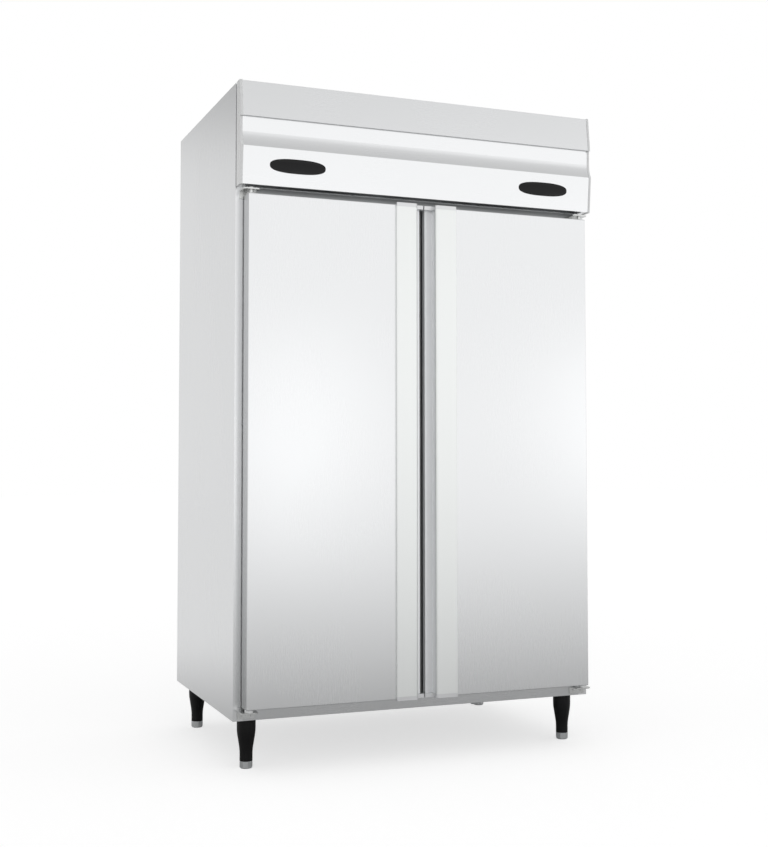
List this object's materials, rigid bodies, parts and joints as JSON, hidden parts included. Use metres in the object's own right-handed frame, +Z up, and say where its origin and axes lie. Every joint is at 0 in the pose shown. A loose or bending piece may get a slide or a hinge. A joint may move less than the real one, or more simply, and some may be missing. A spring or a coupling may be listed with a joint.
{
  "type": "commercial fridge freezer",
  "caption": "Tall stainless steel fridge freezer with side-by-side doors, full-height handle strips, a scooped header and short black legs.",
  "frame": {"origin": "on the floor, under the middle of the whole object", "axes": "+X to the right seen from the front, +Y to the back, +Z up"},
  "size_m": [1.2, 0.811, 2.06],
  "materials": {
    "stainless": "satin",
    "stainless_inner": "satin",
    "galvanised": "matte",
    "cap_plastic": "satin",
    "foam": "matte",
    "inner_plastic": "satin",
    "gasket": "matte",
    "coated_wire": "satin",
    "fins": "satin",
    "motor_casting": "matte",
    "dark_plastic": "matte",
    "window": "gloss",
    "black_paint": "satin",
    "copper": "satin",
    "grey_plastic": "matte",
    "zinc": "satin",
    "foot_steel": "satin"
  },
  "bodies": {
    "cabinet": {"side_panel_left": "stainless", "side_panel_right": "stainless", "bottom_rail": "stainless", "face_frame": "stainless", "header_panel": "stainless", "liner_left": "stainless_inner", "liner_right": "stainless_inner", "evaporator_cover_left": "stainless_inner", "evaporator_cover_right": "stainless_inner", "shelf_standards": "stainless_inner", "shelf_clips": "stainless_inner", "rear_panel": "galvanised", "rear_grille": "galvanised", "base_pan": "galvanised", "machine_deck": "galvanised", "fan_shrouds": "galvanised", "control_box": "galvanised", "leg_plates": "galvanised", "header_end_caps": "cap_plastic", "insulation_body": "foam", "breaker_strip_left": "inner_plastic", "breaker_strip_right": "inner_plastic", "shelves_left": "coated_wire", "shelves_right": "coated_wire", "evaporator_coils": "fins", "condensers": "fins", "evaporator_fan_motors": "motor_casting", "condenser_fan_motors": "motor_casting", "controllers": "dark_plastic", "power_inlet": "dark_plastic", "legs": "dark_plastic", "display_window_left": "window", "display_window_right": "window", "compressors": "black_paint", "refrigerant_pipes": "copper", "drain_pipes": "grey_plastic", "hinge_brackets": "zinc", "hinge_pins": "zinc"},
    "door_left": {"door_skin_left": "stainless", "door_foam_left": "foam", "door_liner_left": "inner_plastic", "door_gasket_left": "gasket", "handle_strip_left": "stainless", "handle_caps_left": "cap_plastic", "door_bushes_left": "grey_plastic"},
    "door_right": {"door_skin_right": "stainless", "door_foam_right": "foam", "door_liner_right": "inner_plastic", "door_gasket_right": "gasket", "handle_strip_right": "stainless", "handle_caps_right": "cap_plastic", "door_bushes_right": "grey_plastic"},
    "evaporator_fan_left": {"evaporator_fan_left": "dark_plastic"},
    "evaporator_fan_right": {"evaporator_fan_right": "dark_plastic"},
    "condenser_fan_left": {"condenser_fan_left": "dark_plastic"},
    "condenser_fan_right": {"condenser_fan_right": "dark_plastic"},
    "foot_front_left": {"foot_front_left": "foot_steel"},
    "foot_front_right": {"foot_front_right": "foot_steel"},
    "foot_rear_left": {"foot_rear_left": "foot_steel"},
    "foot_rear_right": {"foot_rear_right": "foot_steel"}
  },
  "joints": [
    {"name": "door_left_hinge", "type": "hinge", "parent": "cabinet", "child": "door_left", "pos_m": [-0.562, -0.3795, 0.9545], "axis": [0, 0, -1], "range_deg": [0, 110], "stiffness_Nm_per_rad": 1.2, "springref_deg": -40.11},
    {"name": "door_right_hinge", "type": "hinge", "parent": "cabinet", "child": "door_right", "pos_m": [0.562, -0.3795, 0.9545], "axis": [0, 0, 1], "range_deg": [0, 110], "stiffness_Nm_per_rad": 1.2, "springref_deg": -40.11},
    {"name": "evaporator_fan_left_spin", "type": "hinge", "parent": "cabinet", "child": "evaporator_fan_left", "pos_m": [-0.285, 0.0185, 1.609], "axis": [0, 1, 0], "continuous": true},
    {"name": "condenser_fan_left_spin", "type": "hinge", "parent": "cabinet", "child": "condenser_fan_left", "pos_m": [-0.3, -0.1895, 1.8815], "axis": [0, 1, 0], "continuous": true},
    {"name": "evaporator_fan_right_spin", "type": "hinge", "parent": "cabinet", "child": "evaporator_fan_right", "pos_m": [0.285, 0.0185, 1.609], "axis": [0, 1, 0], "continuous": true},
    {"name": "condenser_fan_right_spin", "type": "hinge", "parent": "cabinet", "child": "condenser_fan_right", "pos_m": [0.3, -0.1895, 1.8815], "axis": [0, 1, 0], "continuous": true},
    {"name": "foot_front_left_height", "type": "slide", "parent": "cabinet", "child": "foot_front_left", "axis": [0, 0, 1], "range_m": [-0.025, 0]},
    {"name": "foot_front_right_height", "type": "slide", "parent": "cabinet", "child": "foot_front_right", "axis": [0, 0, 1], "range_m": [-0.025, 0]},
    {"name": "foot_rear_left_height", "type": "slide", "parent": "cabinet", "child": "foot_rear_left", "axis": [0, 0, 1], "range_m": [-0.025, 0]},
    {"name": "foot_rear_right_height", "type": "slide", "parent": "cabinet", "child": "foot_rear_right", "axis": [0, 0, 1], "range_m": [-0.025, 0]}
  ]
}
